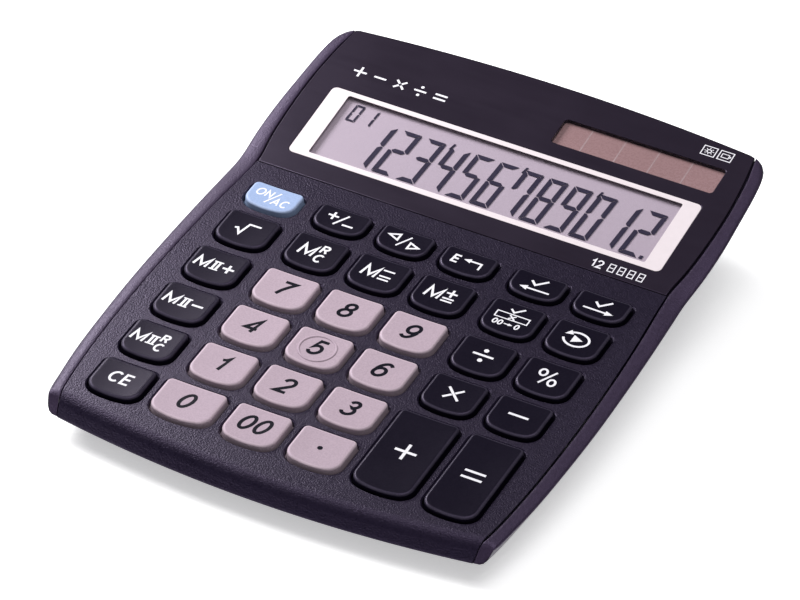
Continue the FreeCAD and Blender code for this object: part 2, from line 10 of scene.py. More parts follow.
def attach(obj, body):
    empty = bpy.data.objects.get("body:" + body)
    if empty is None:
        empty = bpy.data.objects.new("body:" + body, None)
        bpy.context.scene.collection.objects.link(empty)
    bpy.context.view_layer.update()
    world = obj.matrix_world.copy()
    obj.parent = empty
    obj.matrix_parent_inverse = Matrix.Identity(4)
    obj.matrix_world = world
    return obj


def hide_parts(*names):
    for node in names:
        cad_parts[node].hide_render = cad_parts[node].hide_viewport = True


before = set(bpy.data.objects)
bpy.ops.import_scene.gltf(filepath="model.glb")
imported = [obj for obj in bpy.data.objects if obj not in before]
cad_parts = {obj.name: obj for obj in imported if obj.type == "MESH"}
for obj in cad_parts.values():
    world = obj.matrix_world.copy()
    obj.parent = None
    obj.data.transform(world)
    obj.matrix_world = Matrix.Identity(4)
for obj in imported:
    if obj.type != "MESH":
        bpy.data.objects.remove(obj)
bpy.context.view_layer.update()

# ------------------------------------------------------------------ viewpoint
# The calculator is seen from in front, a little to its right and well above it, through
# a long lens that is rolled by a few degrees.
viewer = bpy.data.cameras.new("viewer")
viewer.lens, viewer.sensor_width, viewer.clip_end = 260.14, 36.0, 20.0
camera = bpy.data.objects.new("viewer", viewer)
sideways, upright, backward = ((0.88920, 0.45523, 0.04581), (-0.29967, 0.50380, 0.81018),
                               (0.34573, -0.73413, 0.58439))
camera.matrix_world = (Matrix.Translation((0.46111, -0.98460, 0.79579))
                       @ Matrix((sideways, upright, backward)).transposed().to_4x4())
bpy.context.scene.collection.objects.link(camera)
bpy.context.scene.camera = camera

# ------------------------------------------------------------------ studio
# Four square soft boxes: a strong one high on the left, a small one low and close on the
# same side, a wide one overhead and a weak one in front. The room is pale and even.
bpy.context.scene.view_settings.view_transform = "Standard"


def soft_box(name, place, aim, size, power):
    lamp = bpy.data.lights.new(name, "AREA")
    lamp.shape, lamp.size, lamp.size_y, lamp.energy = "RECTANGLE", size, size, power
    holder = bpy.data.objects.new(name, lamp)
    holder.location = place
    holder.rotation_euler = (Vector(place) - Vector(aim)).to_track_quat("Z", "Y").to_euler()
    bpy.context.scene.collection.objects.link(holder)


soft_box("left_soft_box", (-1.05, 0.10, 0.85), (0, 0, 0), 0.6, 11.0)
soft_box("low_left_soft_box", (-0.24, 0.12, 0.20), (-0.03, 0, 0), 0.12, 0.70)
soft_box("overhead_soft_box", (0.25, 0.15, 1.7), (0, 0, 0), 1.2, 14.0)
soft_box("front_soft_box", (0.6, -0.9, 1.6), (0, 0, 0), 1.5, 4.0)
room = bpy.data.worlds.new("room")
room.use_nodes = True
room.node_tree.nodes["Background"].inputs["Color"].default_value = (0.97, 0.98, 1.0, 1)
room.node_tree.nodes["Background"].inputs["Strength"].default_value = 0.12
bpy.context.scene.world = room


# ------------------------------------------------------------------ desk
# A plain pale table top, as matt as paper. It gives off a little light of its own, so that
# the shadow under the calculator stays soft and light.
class Wire:
    """One output of a shader node. Sums and products of wires add Math nodes."""

    def __init__(self, tree, socket):
        self.tree, self.socket = tree, socket

    def node(self, kind, settings=None, values=None, out=0):
        """A node of this kind: its settings first, then the values or wires it takes."""
        made = self.tree.nodes.new("ShaderNode" + kind)
        for name, value in (settings or {}).items():
            if name == "stops":
                for k, (position, shade) in enumerate(value):
                    ramp = made.color_ramp.elements
                    stop = ramp[k] if k < len(ramp) else ramp.new(position)
                    stop.position, stop.color = position, shade
            else:
                setattr(made, name, value)
        for name, value in (values or {}).items():
            if isinstance(value, Wire):
                self.tree.links.new(value.socket, made.inputs[name])
            else:
                made.inputs[name].default_value = value
        return Wire(self.tree, made.outputs[out])

    def maths(self, operation, first, second=0.0):
        return self.node("Math", {"operation": operation}, {0: first, 1: second})

    def __add__(self, other):
        return self.maths("ADD", self, other)

    def __sub__(self, other):
        return self.maths("SUBTRACT", self, other)

    def __rsub__(self, other):
        return self.maths("SUBTRACT", other, self)

    def __mul__(self, other):
        return self.maths("MULTIPLY", self, other)

    __radd__, __rmul__ = __add__, __mul__

    def between(self, low, high):
        """0 below `low`, 1 above `high`, and a smooth rise from one to the other."""
        return self.node("MapRange", {"interpolation_type": "SMOOTHSTEP"},
                         {"Value": self, "From Min": low, "From Max": high})

    def tint(self, none, full):
        """The colour that goes from `none` to `full` as this wire goes from 0 to 1."""
        return self.node("Mix", {"data_type": "RGBA"}, {0: self, 6: none, 7: full}, out=2)

    def noise(self, scale, detail=2.0, stretch=(1, 1, 1)):
        spread = self.node("VectorMath", {"operation": "MULTIPLY"}, {0: self, 1: stretch})
        return self.node("TexNoise", {}, {"Vector": spread, "Scale": scale, "Detail": detail})


def shade(colour, factor=1.0):
    return tuple(channel * factor for channel in colour) + (1.0,)


class Finish:
    """A material in the making: its shader, and wires for place and facing."""

    def __init__(self, name, **fixed):
        self.material = bpy.data.materials.new(name)
        self.material.use_nodes = True
        self.tree = self.material.node_tree
        self.shader = self.tree.nodes["Principled BSDF"]
        for socket, value in fixed.items():
            self.shader.inputs[socket.replace("_", " ")].default_value = value
        spot = self.tree.nodes.new("ShaderNodeTexCoord")
        self.place = Wire(self.tree, spot.outputs["Object"])
        self.facing = Wire(self.tree, spot.outputs["Normal"])

    def feed(self, **wires):
        for socket, wire in wires.items():
            self.tree.links.new(wire.socket, self.shader.inputs[socket.replace("_", " ")])
        return self.material

    def relief(self, height, depth):
        return self.place.node("Bump", {}, {"Height": height, "Distance": depth,
                                            "Strength": 1.0})


def piece(name, points, faces, material, smooth_angle=None):
    """A new object from its points and faces, linked to the scene."""
    mesh = bpy.data.meshes.new(name)
    mesh.from_pydata([tuple(p) for p in points], [], faces)
    mesh.validate()
    mesh.materials.append(material)
    if smooth_angle:
        mesh.shade_smooth()
        mesh.set_sharp_from_angle(angle=math.radians(smooth_angle))
    made = bpy.data.objects.new(name, mesh)
    bpy.context.scene.collection.objects.link(made)
    return made


paper = Finish("desk_paper", Roughness=0.75, Emission_Strength=0.5)
fibres = paper.place.noise(900, 3)
white = fibres.tint(shade((0.93, 0.93, 0.935)), shade((0.95, 0.95, 0.95)))
paper.feed(Base_Color=white, Emission_Color=white,
           Normal=paper.relief(fibres, 0.00002))
HALF_DESK = 3.0
desk = piece("desk", [(x * HALF_DESK, y * HALF_DESK, 0)
                      for x, y in ((-1, -1), (1, -1), (1, 1), (-1, 1))],
             [(0, 1, 2, 3)], paper.material)


# ------------------------------------------------------------------ lower case
# A black moulded tub with spark-textured outside faces. Four screws from below hold it to
# the upper case, and its battery cover is held by one more.
VIOLET_SHEEN = (0.76, 0.58, 1.0, 1.0)


def coat_node(material, *names):
    """Gives pieces from the CAD model their finish."""
    for name in names:
        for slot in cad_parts[name].material_slots:
            slot.material = material


def moulded(name, colour, roughness=0.5, grain=2400, depth=0.00002, rubbed=0.0, up=None):
    """Injection-moulded plastic with a fine grain, uneven in tone and shine. Where faces
    turn away from `up`, as on rounded edges, handling has polished the grain off."""
    plastic = Finish(name, IOR=1.5, Specular_IOR_Level=0.38, Specular_Tint=VIOLET_SHEEN)
    cloud, fine = plastic.place.noise(30, 3), plastic.place.noise(grain, 2)
    coarse = plastic.place.noise(grain / 3, 3)
    speckle = fine * 0.6 + coarse * 0.4
    body = cloud.tint(shade(colour, 0.90), shade(colour, 1.10))
    grained = speckle.between(0.3, 0.7).tint(shade(colour, 0.7), body)
    gloss = roughness + (speckle - 0.5) * 0.4 + (cloud - 0.5) * 0.12
    if up:
        turned = 1 - plastic.facing.node("VectorMath", {"operation": "DOT_PRODUCT"},
                                         {0: plastic.facing, 1: up}, out=1)
        worn = turned.between(0.04, 0.4) * (0.6 + plastic.place.noise(160, 3) * 0.5) * rubbed
        grained = worn.tint(grained, shade(colour, 1.5))
        gloss = gloss - worn * 0.12
    return plastic.feed(Base_Color=grained, Roughness=gloss,
                        Normal=plastic.relief(fine, depth))


coat_node(moulded("lower_case_plastic", (0.020, 0.017, 0.027), 0.5, 1800, 0.00003),
          "lower_case", "battery_cover")


def plated(name, colour, roughness, streak=(1, 1, 1)):
    """Plated or bare metal with drawn streaks and faint spots."""
    metal = Finish(name, Metallic=1.0)
    lines, spots = metal.place.noise(2200, 4, streak), metal.place.noise(300, 3)
    return metal.feed(Base_Color=spots.tint(shade(colour, 0.82), shade(colour, 1.05)),
                      Roughness=roughness + (lines - 0.5) * 0.2,
                      Normal=metal.relief(lines, 0.000006))


screw_steel = plated("screw_steel", (0.45, 0.45, 0.46), 0.35)
coat_node(screw_steel, "case_screws", "battery_cover_screw", "board_screws")

# ------------------------------------------------------------------ feet
# Four soft rubber discs pressed into shallow recesses, with rounded edges and a small
# moulding pip sunk in the middle of each.
MM = 0.001


def rubbery(name, colour, roughness=0.8):
    skin = Finish(name, IOR=1.45)
    pores, bloom = skin.place.noise(2600, 3), skin.place.noise(220, 4)
    return skin.feed(Base_Color=bloom.tint(shade(colour, 0.8), shade(colour, 1.35)),
                     Roughness=roughness + (bloom - 0.5) * 0.2,
                     Normal=skin.relief(pores, 0.00002))


def turned_piece(name, centre, profile, material, steps=48):
    """A round piece from its (radius, height) profile, closed at both ends."""
    points, faces = [], []
    for radius, height in profile:
        for k in range(steps):
            turn = 2 * math.pi * k / steps
            points.append(Vector(centre) + Vector((radius * math.cos(turn),
                                                   radius * math.sin(turn), height)))
    for ring in range(len(profile) - 1):
        for k in range(steps):
            a, b = ring * steps + k, ring * steps + (k + 1) % steps
            faces.append((a, b, b + steps, a + steps))
    last = (len(profile) - 1) * steps
    faces += [tuple(range(steps))[::-1], tuple(range(last, last + steps))]
    return piece(name, points, faces, material, 40)


foot_rubber = rubbery("foot_rubber", (0.028, 0.028, 0.033))
FOLD_Y, FOLD_Z = 24.6 * MM, 18.6 * MM
FEET = [(-33, -77), (33, -77), (-40, 28.5), (40, 28.5)]
FOOT_RADIUS, FOOT_TOP, FOOT_EDGE = 4.5 * MM, 1.58 * MM, 0.45 * MM
rounding = [(FOOT_RADIUS - FOOT_EDGE * (1 - math.sin(t)), FOOT_EDGE * (1 - math.cos(t)))
            for t in (math.radians(15 * k) for k in range(7))]
foot_profile = ([(0.5 * MM, 0.25 * MM), (0.9 * MM, 0.22 * MM), (1.1 * MM, 0)] + rounding
                + [(FOOT_RADIUS, FOOT_TOP)])
feet = [turned_piece("foot_%d" % k, (x * MM, FOLD_Y + y * MM, 0), foot_profile, foot_rubber)
        for k, (x, y) in enumerate(FEET)]
for foot in feet:
    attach(foot, "case")
    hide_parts("rubber_feet")

# ------------------------------------------------------------------ works inside the case
# Board, rubber mat, battery, display frame and wires. They are shut in by the case, and
# keep their shapes, each with a finish of its own.
coat_node(plated("cell_steel", (0.72, 0.72, 0.70), 0.18), "button_cell")
coat_node(plated("contact_steel", (0.62, 0.61, 0.56), 0.3, (1, 0.1, 1)), "battery_contacts")
coat_node(plated("capacitor_can", (0.6, 0.6, 0.62), 0.3), "buffer_capacitor")
coat_node(rubbery("dome_rubber", (0.50, 0.51, 0.54), 0.6), "rubber_mat")
coat_node(rubbery("wire_sleeve", (0.35, 0.03, 0.03), 0.45), "hookup_wires")
coat_node(moulded("potting_resin", (0.012, 0.012, 0.012), 0.2, 700), "controller_blob")
coat_node(moulded("resistor_ceramic", (0.05, 0.05, 0.06), 0.4), "chip_resistors")
coat_node(moulded("holder_plastic", (0.03, 0.028, 0.034), 0.6), "lcd_holder")
laminate = Finish("board_laminate", Coat_Roughness=0.15)
weave = (laminate.place.noise(1500, 1, (1, 0.15, 1))
         + laminate.place.noise(1500, 1, (0.15, 1, 1)))
laminate.feed(Base_Color=(weave * 0.5).tint(shade((0.05, 0.10, 0.03)),
                                            shade((0.14, 0.22, 0.07))),
              Roughness=0.3 + weave * 0.1, Normal=laminate.relief(weave, 0.00001))
coat_node(laminate.material, "circuit_board")
film = Finish("flex_film", IOR=1.6)
tracks = film.place.noise(2600, 0, (1, 0, 0)).between(0.45, 0.55)
film.feed(Base_Color=tracks.tint(shade((0.42, 0.20, 0.05)), shade((0.62, 0.40, 0.18))),
          Roughness=0.25 + tracks * 0.15)
coat_node(film.material, "display_film")
foil = Finish("grey_reflector", Metallic=0.6)
crystals = foil.place.noise(1800, 3)
foil.feed(Base_Color=crystals.tint(shade((0.44, 0.40, 0.46)), shade((0.54, 0.50, 0.56))),
          Roughness=0.4 + crystals * 0.2)
coat_node(foil.material, "lcd_reflector")

# ------------------------------------------------------------------ upper case
# One dark violet-grey moulding with a fine matt grain: the deck with an opening for every
# key, and the sloping front. Hands have polished the rounded edges a little.
DECK_TILT, DISPLAY_TILT = math.radians(5.0), math.radians(11.3)
DECK_UP = (0, -math.sin(DECK_TILT), math.cos(DECK_TILT))
case_plastic = moulded("case_plastic", (0.0080, 0.0058, 0.0150), 0.37, 2600, 0.00012,
                       0.5, DECK_UP)
coat_node(case_plastic, "upper_case")
# its big flats keep their own light right up to each edge
even_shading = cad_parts["upper_case"].modifiers.new("even_shading", "WEIGHTED_NORMAL")
even_shading.keep_sharp = True


# ------------------------------------------------------------------ front of the case
# The front edge of the upper case is arched, with a soft crease above a short sloping face
# and a tuck below it. Its skin follows one smooth curve from shadow gap to shadow gap.
def slope(tilt):
    """The frame of the deck or of the display section, measured from the fold."""
    return Matrix.Translation((0, FOLD_Y, FOLD_Z)) @ Matrix.Rotation(tilt, 4, "X")


def read_line(line, y):
    """Half-width of a side line at y, on a smooth curve through its points."""
    n = max(i for i in range(len(line) - 1) if line[i][0] <= y or i == 0)
    (y0, x0), (y1, x1) = line[n], line[n + 1]
    before, after = line[max(n - 1, 0)], line[min(n + 2, len(line) - 1)]
    run, t = y1 - y0, (y - y0) / (y1 - y0)
    m0 = (x1 - before[1]) / (y1 - before[0]) * run
    m1 = (after[1] - x0) / (after[0] - y0) * run
    return ((2 * t**3 - 3 * t**2 + 1) * x0 + (t**3 - 2 * t**2 + t) * m0
            + (3 * t**2 - 2 * t**3) * x1 + (t**3 - t**2) * m1)


GROOVE_LINE = [(-101, 51.6), (-97, 52.6), (-92, 53.6), (-85, 54.5), (-70, 55.5), (-50, 55.9),
               (-30, 55.5), (-15, 54.7), (0, 53.7), (10, 54.8), (20, 55.3), (30, 55.3),
               (40, 54.6), (49, 53.4), (54, 52.6)]
NOSE_AXIS, NOSE_TOP, NOSE_BOTTOM = 218.3, 317.5, 320.2
NOSE_FALL, NOSE_TUCK, CREASE = 4.3, 1.5, 4.4
CASE_DEPTH = 6.6
steep = math.atan2(NOSE_FALL, NOSE_BOTTOM - NOSE_TOP)
crease_start = NOSE_TOP - CREASE * math.tan(steep / 2)
crease_end = crease_start + CREASE * math.sin(steep)


def front_height(radius):
    """Height of the front's skin at this distance from the centre of its arch."""
    if radius <= crease_start:
        return 0.0
    if radius < crease_end:
        return math.sqrt(CREASE**2 - (radius - crease_start)**2) - CREASE
    return (NOSE_TOP - radius) * math.tan(steep)


def front_reach(height):
    """How far from that centre the skin may lie at this height."""
    if height < -NOSE_FALL:
        return NOSE_BOTTOM - NOSE_TUCK * (-NOSE_FALL - height)
    return NOSE_BOTTOM + NOSE_FALL


def grid_faces(rows, columns):
    return [(r * columns + k, (r + 1) * columns + k, (r + 1) * columns + k + 1,
             r * columns + k + 1) for r in range(rows - 1) for k in range(columns - 1)]


SKIN_LIFT, LOWER_ROUND = 0.03, 0.35
CREASE_STEPS, FACE_STEPS, ACROSS = 14, 5, 72
WIDEST_HALF, HALF_TRIES = 53.0, 4
face_end = NOSE_BOTTOM - LOWER_ROUND
profile = [crease_start + (crease_end - crease_start) * k / CREASE_STEPS
           for k in range(CREASE_STEPS + 1)]
profile += [crease_end + (face_end - crease_end) * k / FACE_STEPS
            for k in range(1, FACE_STEPS + 1)]
profile = [(radius + SKIN_LIFT * math.sin(steep), front_height(radius) + SKIN_LIFT)
           for radius in profile]
profile += [(NOSE_BOTTOM - 0.05, -NOSE_FALL + 0.12), (NOSE_BOTTOM + 0.03, -NOSE_FALL - 0.1),
            (NOSE_BOTTOM - 0.22, -NOSE_FALL - 0.3),
            (NOSE_BOTTOM - NOSE_TUCK * 1.2 + SKIN_LIFT, -NOSE_FALL - 1.2),
            (front_reach(-CASE_DEPTH) + SKIN_LIFT, -CASE_DEPTH)]
points = []
for radius, height in profile:
    half = WIDEST_HALF
    for _ in range(HALF_TRIES):
        half = read_line(GROOVE_LINE, NOSE_AXIS - math.sqrt(radius**2 - half**2))
    for k in range(ACROSS + 1):
        x = half * (1 - 2 * k / ACROSS)
        points.append(slope(DECK_TILT) @ (Vector((x, NOSE_AXIS - math.sqrt(radius**2 - x**2),
                                                  height)) * MM))
front_skin = piece("front_skin", points, grid_faces(len(profile), ACROSS + 1), case_plastic, 80)
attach(front_skin, "case")

# ------------------------------------------------------------------ side rails
# A slim separate moulding along each side, a shade lighter than the case, pressed on with
# a thin shadow gap between. Each is rounded over, widest just below the deck, and tucks
# in under the case; its ends follow the arched front and back.
OUTER_LINE = [(-96.9, 54.4), (-96.1, 55.5), (-94.8, 56.2), (-92.6, 56.9), (-88, 57.5),
              (-78, 58.6), (-65, 59.3), (-50, 59.7), (-35, 59.6), (-20, 59.2), (-8, 58.7),
              (0, 58.4), (9.8, 59.0), (19.6, 59.1), (29.4, 58.7), (37, 58.3), (41.5, 57.9),
              (44.6, 57.4), (46.5, 56.8), (48.0, 55.9), (48.8, 54.9), (49.2, 54.0)]
RAIL_DROP, GROOVE, FOLD_BLEND = 0.3, 0.3, 5.0
RAIL_LIP, RAIL_ROUND, RAIL_TUCK = 0.25, 0.85, 3.1
GAP_END, GAP_FADE = 49.3, 6.0
RAIL_BACK, RAIL_TURN, RAIL_FRONT = 49.1, 48.2, -97.0
RAIL_STEP, RAIL_STEPS, END_STEPS, TURN_STEPS = 146.2 / 90, 84, 16, 5


def slope_height(y):
    """Height of the two flats above the desk, eased together where they meet."""
    low, high = math.tan(DECK_TILT), math.tan(DISPLAY_TILT)
    if abs(y) < FOLD_BLEND:
        return FOLD_Z / MM + (low + high) / 2 * y + (high - low) * (
            y * y + FOLD_BLEND**2) / (4 * FOLD_BLEND)
    return FOLD_Z / MM + y * (low if y < 0 else high)


def rail_ring(y):
    """One cross-section of the right rail, from its inner foot over the top to its outer
    foot, in millimetres from the fold."""
    gap = GROOVE * min(1.0, max(0.1, (GAP_END - y) / GAP_FADE))
    inner, outer = read_line(GROOVE_LINE, y) + gap, read_line(OUTER_LINE, y)
    wide, top = outer - inner, slope_height(y) - RAIL_DROP
    tuck, tall = min(RAIL_TUCK, wide - 0.3), CASE_DEPTH - RAIL_DROP
    ring = [(inner, top - tall), (inner, top - 2.0), (inner, top - RAIL_LIP),
            (inner + 0.07, top - 0.07), (inner + RAIL_LIP, top)]
    for k in range(1, 9):
        t = math.radians(90 * k / 8)
        ring.append((inner + RAIL_LIP + (wide - RAIL_LIP) * math.sin(t),
                     top - RAIL_ROUND * (1 - math.cos(t))))
    for inward, down in ((0.06, 1.25), (0.17, 1.75), (0.5, 0.5 * (tall + 0.2)), (1, tall)):
        ring.append((outer - inward * tuck, top - down))
    return [(x, y, z - FOLD_Z / MM) for x, z in ring]


def behind_front(x, y, z):
    """The nearest place for a point that isn't outside the arched front."""
    u = y * math.cos(DECK_TILT) + z * math.sin(DECK_TILT)
    w = z * math.cos(DECK_TILT) - y * math.sin(DECK_TILT)
    radius = math.hypot(x, NOSE_AXIS - u)
    reach = min(front_reach(w), NOSE_BOTTOM)
    if radius > reach:
        x, u = x * reach / radius, NOSE_AXIS - (NOSE_AXIS - u) * reach / radius
        radius = reach
    w = min(w, front_height(radius)) if w > -NOSE_FALL else w
    return (x, u * math.cos(DECK_TILT) - w * math.sin(DECK_TILT),
            u * math.sin(DECK_TILT) + w * math.cos(DECK_TILT))


rail_plastic = moulded("rail_plastic", (0.032, 0.022, 0.044), 0.38, 2600, 0.0001,
                       0.35, DECK_UP)
stations = [RAIL_BACK - (RAIL_BACK - RAIL_TURN) * k / TURN_STEPS
            for k in range(TURN_STEPS + 1)]
stations += [RAIL_TURN - RAIL_STEP * k for k in range(1, RAIL_STEPS + 1)]
stations += [stations[-1] - (stations[-1] - RAIL_FRONT) * k / END_STEPS
             for k in range(1, END_STEPS + 1)]
for side, name in ((1, "right_side_rail"), (-1, "left_side_rail")):
    rings = [rail_ring(y) for y in stations]
    rings = [[behind_front(*p) if p[1] < -80 else p for p in ring] for ring in rings]
    count = len(rings[0])
    points = [Vector((side * x * MM, FOLD_Y + y * MM, FOLD_Z + z * MM))
              for ring in rings for x, y, z in ring]
    faces = grid_faces(len(rings), count)
    faces += [(r * count, r * count + count - 1, (r + 1) * count + count - 1, (r + 1) * count)
              for r in range(len(rings) - 1)]
    faces += [tuple(range(count))]
    faces += [tuple(range((len(rings) - 1) * count, len(rings) * count))[::-1]]
    if side < 0:
        faces = [face[::-1] for face in faces]
    rail = piece(name + "_moulding", points, faces, rail_plastic, 50)
    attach(rail, "case")
    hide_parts(name)


# ------------------------------------------------------------------ display panel
# A satin black plate bonded over the whole display section. Its edges are broken by a
# small bevel, and it has a long window for the display and a short one for the solar cell.
def rounded_ring(x0, x1, y0, y1, radius, steps=6):
    """Points round a rectangle with rounded corners, anticlockwise."""
    ring = []
    for cx, cy, start in ((x1 - radius, y0 + radius, -90), (x1 - radius, y1 - radius, 0),
                          (x0 + radius, y1 - radius, 90), (x0 + radius, y0 + radius, 180)):
        for k in range(steps + 1):
            turn = math.radians(start + 90 * k / steps)
            ring.append((cx + radius * math.cos(turn), cy + radius * math.sin(turn)))
    return ring


def cut_plate(name, rings, low, high, bevel, frame_of, material):
    """A flat plate from closed outlines in millimetres: the first is its edge, the others
    its holes. Every edge is broken by a small round bevel."""
    sheet = bpy.data.curves.new(name, "CURVE")
    sheet.dimensions, sheet.fill_mode = "2D", "BOTH"
    for ring in rings:
        line = sheet.splines.new("POLY")
        line.points.add(len(ring) - 1)
        for point, (x, y) in zip(line.points, ring):
            point.co = (x * MM, y * MM, 0, 1)
        line.use_cyclic_u = True
    sheet.bevel_depth, sheet.bevel_resolution, sheet.offset = bevel * MM, 2, -bevel * MM
    sheet.extrude = ((high - low) / 2 - bevel) * MM
    pattern = bpy.data.objects.new(name + "_pattern", sheet)
    bpy.context.scene.collection.objects.link(pattern)
    shape = bpy.data.meshes.new_from_object(
        pattern.evaluated_get(bpy.context.evaluated_depsgraph_get()))
    bpy.data.objects.remove(pattern)
    shape.transform(frame_of @ Matrix.Translation((0, 0, (high + low) / 2 * MM)))
    shape.materials.clear()
    shape.materials.append(material)
    shape.shade_smooth()
    shape.set_sharp_from_angle(angle=math.radians(35))
    plate = bpy.data.objects.new(name, shape)
    bpy.context.scene.collection.objects.link(plate)
    return plate


BACK_EDGE, BACK_BOW, BACK_HALF, BACK_CORNER = 52.0, 520.0, 52.0, 49.0
SIDE_STEPS, BACK_STEPS = 24, 26
PANEL_INSET, PANEL_BEVEL, LENS_CORNER = 0.2, 0.22, 1.4
LENS = (-48.9, 48.9, 6.3, 30.4)
LCD_VIEW = (-44.1, 44.4, 7.9, 29.0)
SOLAR_VIEW = (6.8, 49.0, 34.9, 43.4)
PANEL_THICK = 1.2
lean = math.cos(DISPLAY_TILT)
side = [(read_line(GROOVE_LINE, y) - PANEL_INSET, y / lean)
        for y in [0.25] + [BACK_CORNER * k / SIDE_STEPS for k in range(1, SIDE_STEPS + 1)]]
rear = [(x, (BACK_EDGE - BACK_BOW + math.sqrt(BACK_BOW**2 - x**2)) / lean)
        for x in (BACK_HALF * (1 - 2 * k / BACK_STEPS) for k in range(BACK_STEPS + 1))]
panel_ring = side + rear + [(-x, y) for x, y in side[::-1]]

satin = Finish("panel_plastic", IOR=1.5, Specular_IOR_Level=0.25, Specular_Tint=VIOLET_SHEEN)
haze, grit = satin.place.noise(55, 4), satin.place.noise(1900, 2)
wiped = satin.place.noise(420, 3, (0.12, 1, 1))
satin.feed(Base_Color=haze.tint(shade((0.0110, 0.0078, 0.0138)),
                                shade((0.0155, 0.0110, 0.0190))),
           Roughness=0.30 + haze * 0.10 + (wiped - 0.5) * 0.12,
           Normal=satin.relief(grit * 0.7 + wiped * 0.3, 0.000007))
panel = cut_plate("display_panel_plate",
                  [panel_ring, rounded_ring(*LENS, LENS_CORNER),
                   rounded_ring(*SOLAR_VIEW, 0.9)],
                  -PANEL_THICK, 0, PANEL_BEVEL, slope(DISPLAY_TILT), satin.material)
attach(panel, "case")
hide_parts("display_panel")

# ------------------------------------------------------------------ display window
# A clear acrylic strip set in the long window, with a thick white border screen-printed on
# its face round the view of the display. A second clear strip covers the solar cell.
acrylic = Finish("clear_acrylic")
clear = acrylic.place.node("BsdfTransparent", {}, {"Color": (0.985, 0.98, 0.985, 1)})
shine = acrylic.place.node("BsdfGlossy", {}, {"Color": (1, 1, 1, 1), "Roughness": 0.08})
smear = acrylic.place.noise(70, 4)
glance = acrylic.place.node("LayerWeight", {}, {"Blend": 0.5}, out=1)
reflect = 0.012 + (glance * glance * glance * glance) * (0.45 + smear * 0.3)
glazed = acrylic.place.node("MixShader", {}, {0: reflect, 1: clear, 2: shine})
acrylic.tree.links.new(glazed.socket, acrylic.tree.nodes["Material Output"].inputs["Surface"])
coat_node(acrylic.material, "display_window", "solar_window")

ink = Finish("white_border_print", Roughness=0.4)
cover = ink.place.noise(500, 4)
ink.feed(Base_Color=cover.tint(shade((0.74, 0.66, 0.69)), shade((0.80, 0.71, 0.75))),
         Roughness=0.35 + cover * 0.12, Normal=ink.relief(cover, 0.000004))
border = cut_plate("white_border",
                   [rounded_ring(*LENS, LENS_CORNER), rounded_ring(*LCD_VIEW, 0.5)],
                   -0.2, -0.05, 0.02, slope(DISPLAY_TILT), ink.material)
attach(border, "case")
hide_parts("window_border")

# ------------------------------------------------------------------ liquid crystal display
# A flat glass cell with a grey, slightly sparkling reflector, and the dark segments that
# are switched on: twelve places, thousands ticks, a point, and a small step counter.
LCD_TOP = -1.25
cell = Finish("lcd_cell", IOR=1.5)
sparkle, shadow = cell.place.noise(3200, 2), cell.place.noise(18, 2)
cell.feed(Base_Color=sparkle.tint(shade((0.41, 0.345, 0.415)), shade((0.51, 0.43, 0.51))),
          Roughness=0.28 + shadow * 0.1 + (sparkle - 0.5) * 0.15)
coat_node(cell.material, "lcd_glass")

DIGIT_WIDE, DIGIT_TALL, DIGIT_WAIST = 5.0, 15.4, 8.3
BAR, NICK, LEAN = 1.25, 0.14, math.tan(math.radians(4.2))
DIGIT_LEFT, DIGIT_PITCH, DIGIT_FOOT = -34.75, 6.48, 9.4
COUNTER_LEFT, COUNTER_PITCH, COUNTER_FOOT = -41.9, 4.0, 22.2
THOUSANDS, TICK_FOOT, TICK_TOP = (-14.6, 4.6, 24.3), 23.5, 25.6


def segment_shapes(wide, tall, waist, bar, nick):
    """The seven segments of one place, each a polygon with mitred ends."""
    half = bar / 2
    low, high = waist - half, waist + half
    upper_left = [(0, tall - nick), (bar, tall - bar - nick), (bar, high + nick),
                  (half, waist + nick), (0, waist + nick)]
    lower_left = [(0, waist - nick), (half, waist - nick), (bar, low - nick),
                  (bar, bar + nick), (0, nick)]
    across = [(half + nick, waist), (bar + nick, high), (wide - bar - nick, high),
              (wide - half - nick, waist), (wide - bar - nick, low), (bar + nick, low)]
    top = [(nick, tall), (bar + nick, tall - bar), (wide - bar - nick, tall - bar),
           (wide - nick, tall)]
    bottom = [(nick, 0), (wide - nick, 0), (wide - bar - nick, bar), (bar + nick, bar)]
    return {"a": top, "d": bottom, "g": across, "f": upper_left, "e": lower_left,
            "b": [(wide - x, y) for x, y in upper_left],
            "c": [(wide - x, y) for x, y in lower_left]}


LIT = {"0": "abcdef", "1": "bc", "2": "abged", "3": "abgcd", "4": "fgbc", "5": "afgcd",
       "6": "afgecd", "7": "abcf", "8": "abcdefg", "9": "abcdfg"}


def anticlockwise(ring):
    area = sum(x0 * y1 - x1 * y0 for (x0, y0), (x1, y1) in zip(ring, ring[1:] + ring[:1]))
    return ring if area > 0 else ring[::-1]


def flat_pieces(name, rings, height, frame_of, material):
    """Thin flat shapes from outlines in millimetres, `height` above the frame's plane."""
    points, faces = [], []
    for ring in rings:
        start = len(points)
        for x, y in anticlockwise(ring):
            points.append(frame_of @ Vector((x * MM, y * MM, height * MM)))
        faces.append(tuple(range(start, len(points))))
    return piece(name, points, faces, material)


def place_digits(text, left, foot, pitch, shapes):
    return [[(left + pitch * k + x + LEAN * y, foot + y) for x, y in shapes[letter]]
            for k, number in enumerate(text) for letter in LIT[number]]


